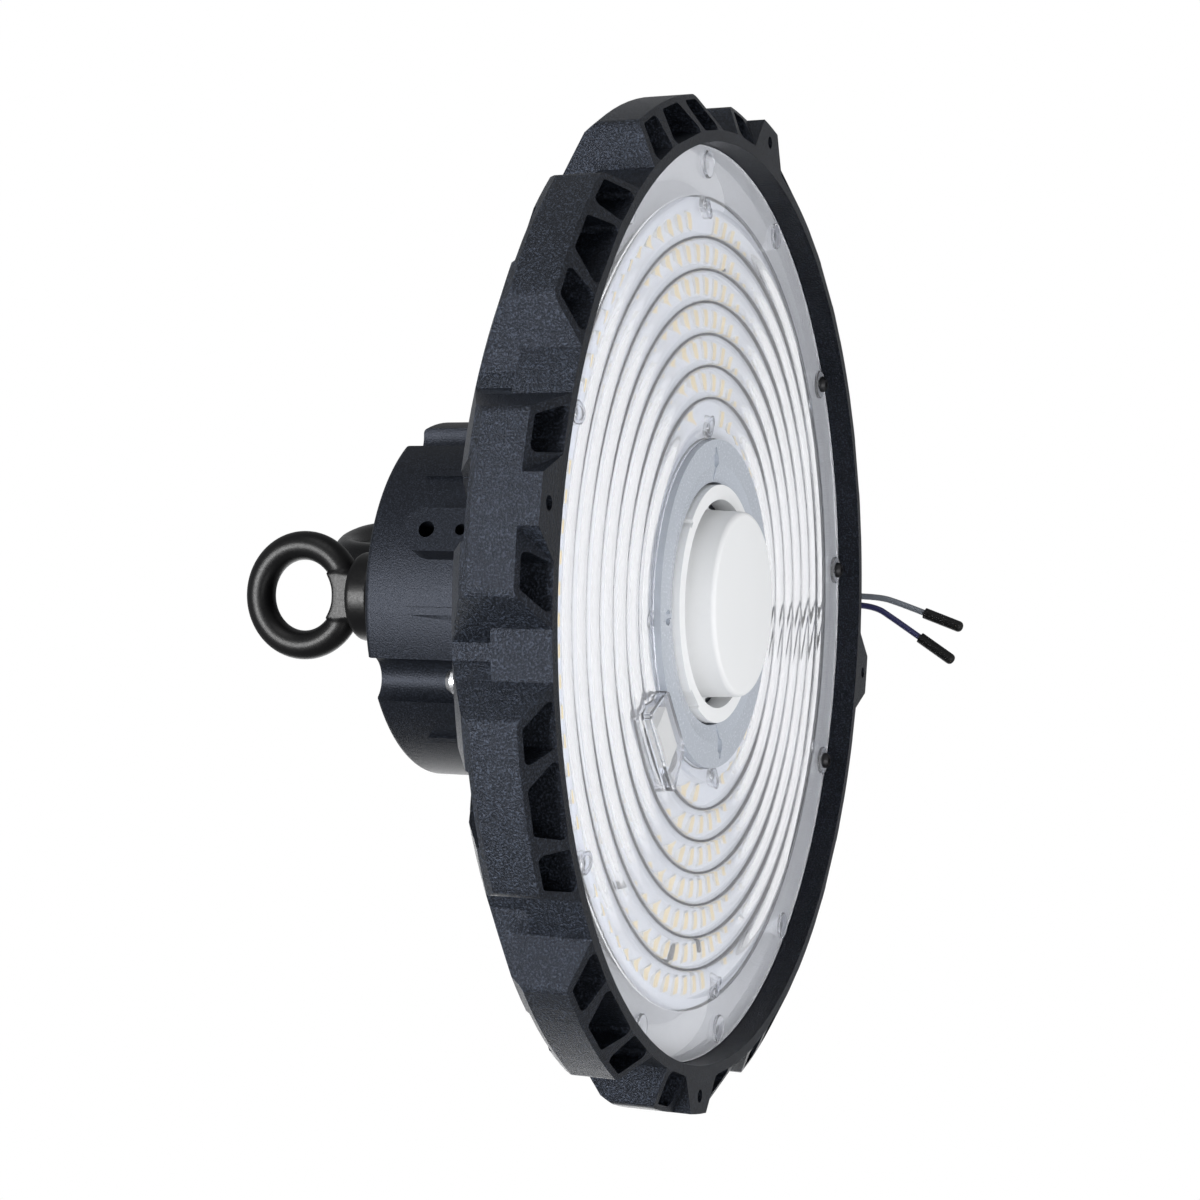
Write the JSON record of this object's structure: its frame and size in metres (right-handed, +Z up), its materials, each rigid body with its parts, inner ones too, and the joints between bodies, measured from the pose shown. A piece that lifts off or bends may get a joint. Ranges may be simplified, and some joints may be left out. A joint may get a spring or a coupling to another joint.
{
  "type": "high bay light",
  "caption": "Round LED high bay light hung by an eye bolt, with a finned die-cast heatsink, clear ringed lens cover, central motion sensor and rear driver housing.",
  "frame": {"origin": "centre of the eye ring that the light hangs from", "axes": "+Z up along the light's own axis, from the lens towards the eye bolt; the eye ring lies in the XZ plane, and its hole runs along Y"},
  "size_m": [0.3158, 0.3374, 0.2094],
  "materials": {
    "casting_black": "black textured powder coat",
    "housing_black": "black fine powder coat",
    "eye_black": "satin black",
    "clear_lens": "clear moulded polycarbonate",
    "white_seal": "white silicone",
    "black_seal": "black silicone",
    "board_white": "white solder mask",
    "screw_black": "blackened steel",
    "screw_steel": "bright steel",
    "ring_grey": "pale grey translucent plastic",
    "sensor_white": "matte off-white",
    "terminal_white": "white plastic",
    "gland_grey": "dark grey nylon",
    "sleeve_grey": "grey rubber",
    "cable_black": "glossy black sheath",
    "wire_grey": "grey insulation",
    "wire_purple": "purple insulation",
    "cap_black": "black shrink cap",
    "circuit_green": "green solder mask",
    "ferrite": "dark ferrite",
    "capacitor_sleeve": "dark shrink sleeve",
    "copper": "enamelled copper wire"
  },
  "bodies": {
    "root": {"heatsink": "casting_black", "lens_cover": "clear_lens", "rim_seal": "white_seal", "centre_seal": "white_seal", "led_board": "board_white", "wire_terminal": "terminal_white", "lens_screws": "screw_black", "board_screws": "screw_steel", "centre_ring": "ring_grey", "sensor_base": "sensor_white", "sensor_cap": "sensor_white", "sensor_board": "circuit_green", "driver_housing": "housing_black", "driver_seal": "black_seal", "driver_screws": "screw_steel", "eye_bolt": "eye_black", "eye_washer": "screw_steel", "gland_body": "gland_grey", "gland_cap": "gland_grey", "gland_sleeve": "sleeve_grey", "gland_nut": "gland_grey", "driver_board": "circuit_green", "driver_transformer": "ferrite", "driver_capacitors": "capacitor_sleeve", "driver_inductor": "copper", "driver_transistors": "capacitor_sleeve", "supply_cable": "cable_black", "grey_wire": "wire_grey", "purple_wire": "wire_purple", "wire_caps": "cap_black"}
  },
  "joints": []
}
